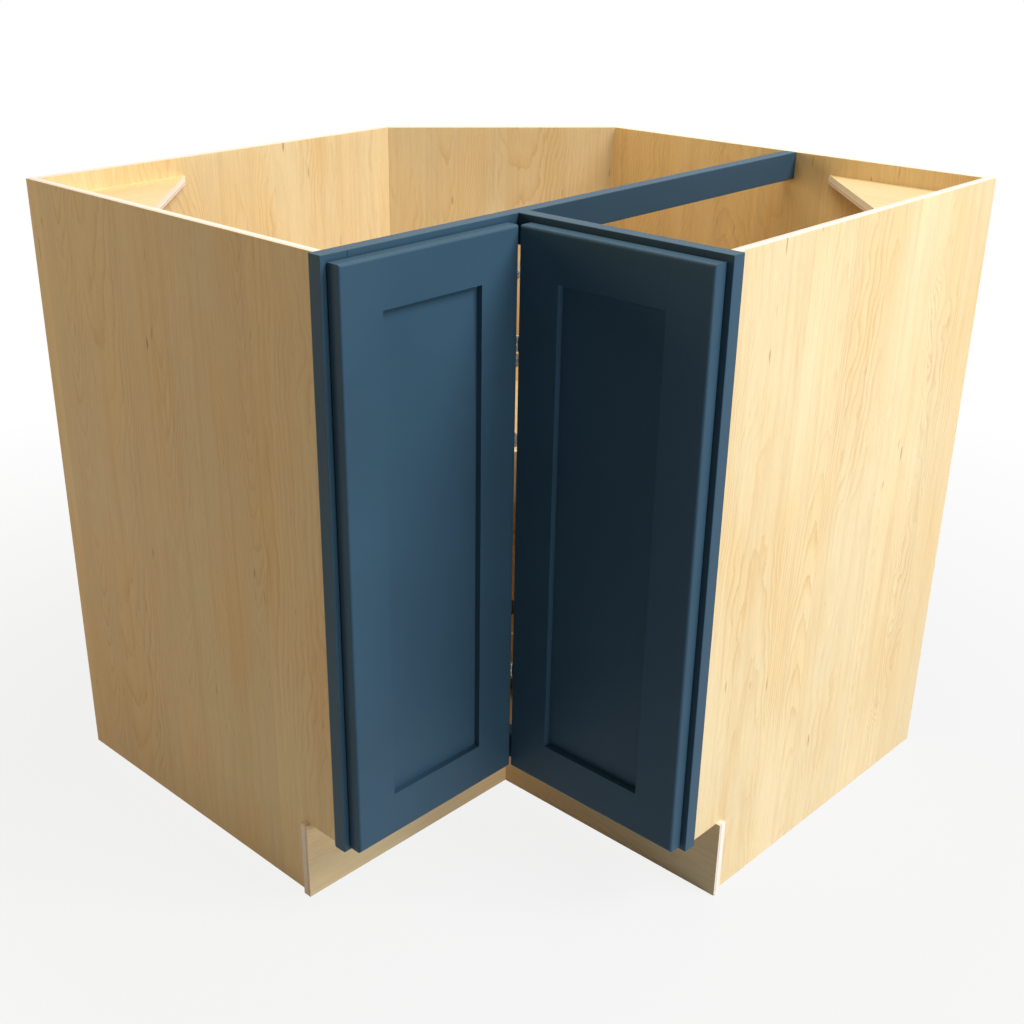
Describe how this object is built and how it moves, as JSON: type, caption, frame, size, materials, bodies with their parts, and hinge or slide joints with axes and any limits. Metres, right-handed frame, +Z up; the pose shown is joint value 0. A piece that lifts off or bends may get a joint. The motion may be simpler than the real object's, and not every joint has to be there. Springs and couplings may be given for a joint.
{
  "type": "corner carousel cabinet",
  "caption": "Corner base cabinet with folding shaker doors, an open top and round notched trays that turn on a central pole.",
  "frame": {"origin": "middle of the square footprint, at floor level", "axes": "+Z up; the left wing stands against the wall at -X with its door facing +X; the right wing stands against the wall at +Y with its door facing -Y"},
  "size_m": [0.9144, 0.9144, 0.8763],
  "materials": {
    "maple_plywood": "clear satin lacquer on maple plywood",
    "blue_paint": "satin slate-blue paint on hardwood",
    "nickel": "nickel-plated steel",
    "chrome": "bright chrome",
    "grey_plastic": "matt moulded plastic",
    "bumper": "soft clear bumper"
  },
  "bodies": {
    "cabinet": {"left_end_panel": "maple_plywood", "right_end_panel": "maple_plywood", "left_back_panel": "maple_plywood", "right_back_panel": "maple_plywood", "corner_back_panel": "maple_plywood", "floor_panel": "maple_plywood", "left_toe_board": "maple_plywood", "right_toe_board": "maple_plywood", "left_gusset": "maple_plywood", "right_gusset": "maple_plywood", "left_stile": "blue_paint", "right_stile": "blue_paint", "left_top_rail": "blue_paint", "right_top_rail": "blue_paint", "left_bottom_rail": "blue_paint", "right_bottom_rail": "blue_paint", "lower_hinge_plate": "nickel", "lower_hinge_arm": "nickel", "upper_hinge_plate": "nickel", "upper_hinge_arm": "nickel", "pole_outer_tube": "chrome", "pole_inner_tube": "chrome", "pole_lock_collar": "grey_plastic", "pole_foot": "grey_plastic", "pole_bracket": "nickel", "pole_bush": "grey_plastic", "lower_collar": "chrome", "upper_collar": "chrome"},
    "lower_tray": {"lower_tray_base": "maple_plywood", "lower_tray_rim": "maple_plywood", "lower_tray_hub": "grey_plastic"},
    "upper_tray": {"upper_tray_base": "maple_plywood", "upper_tray_rim": "maple_plywood", "upper_tray_hub": "grey_plastic"},
    "left_door": {"left_door_outer_stile": "blue_paint", "left_door_inner_stile": "blue_paint", "left_door_top_rail": "blue_paint", "left_door_bottom_rail": "blue_paint", "left_door_panel": "blue_paint", "lower_hinge_cup": "nickel", "upper_hinge_cup": "nickel", "lower_fold_left_leaf": "nickel", "upper_fold_left_leaf": "nickel", "lower_fold_pin": "nickel", "upper_fold_pin": "nickel"},
    "right_door": {"right_door_outer_stile": "blue_paint", "right_door_inner_stile": "blue_paint", "right_door_top_rail": "blue_paint", "right_door_bottom_rail": "blue_paint", "right_door_panel": "blue_paint", "lower_fold_right_leaf": "nickel", "upper_fold_right_leaf": "nickel", "lower_door_bumper": "bumper", "upper_door_bumper": "bumper"}
  },
  "joints": [
    {"name": "left_door_swing", "type": "hinge", "parent": "cabinet", "child": "left_door", "pos_m": [0.17295, -0.4493, 0.4937], "axis": [0, 0, -1], "range_deg": [0, 165]},
    {"name": "right_door_fold", "type": "hinge", "parent": "left_door", "child": "right_door", "pos_m": [0.16382, -0.16382, 0.4937], "axis": [0, 0, 1], "range_deg": [0, 60]},
    {"name": "lower_tray_spin", "type": "hinge", "parent": "cabinet", "child": "lower_tray", "pos_m": [-0.0825, 0.0825, 0.1674], "axis": [0, 0, 1], "continuous": true},
    {"name": "upper_tray_spin", "type": "hinge", "parent": "cabinet", "child": "upper_tray", "pos_m": [-0.0825, 0.0825, 0.4531], "axis": [0, 0, 1], "continuous": true}
  ],
  "couplings": [
    {"joint": "right_door_fold", "follows": "left_door_swing", "ratio": 0.3636}
  ]
}
